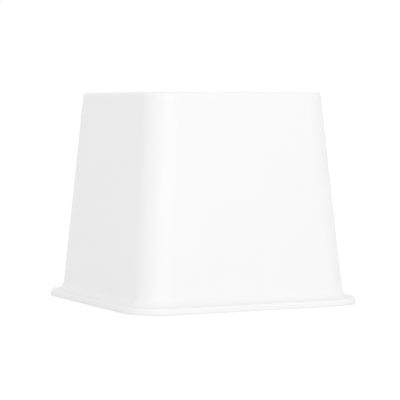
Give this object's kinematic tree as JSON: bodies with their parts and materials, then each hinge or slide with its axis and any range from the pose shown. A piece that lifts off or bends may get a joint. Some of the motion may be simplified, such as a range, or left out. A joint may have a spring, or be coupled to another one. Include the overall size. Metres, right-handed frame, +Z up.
{
  "type": "bed riser",
  "caption": "Hollow square block, tapered so that it nests, with a flat rounded flange round its foot, a shallow square well in its top for a bed leg, and ribs inside.",
  "frame": {"origin": "middle of the footprint, on the floor, at the underside of the flange", "axes": "+Z up through the well in the top; X and Y square to the side walls"},
  "size_m": [0.182, 0.182, 0.152],
  "materials": {
    "polypropylene": "white, slightly translucent, fine satin mould texture"
  },
  "bodies": {
    "root": {"riser": "polypropylene"}
  },
  "joints": []
}
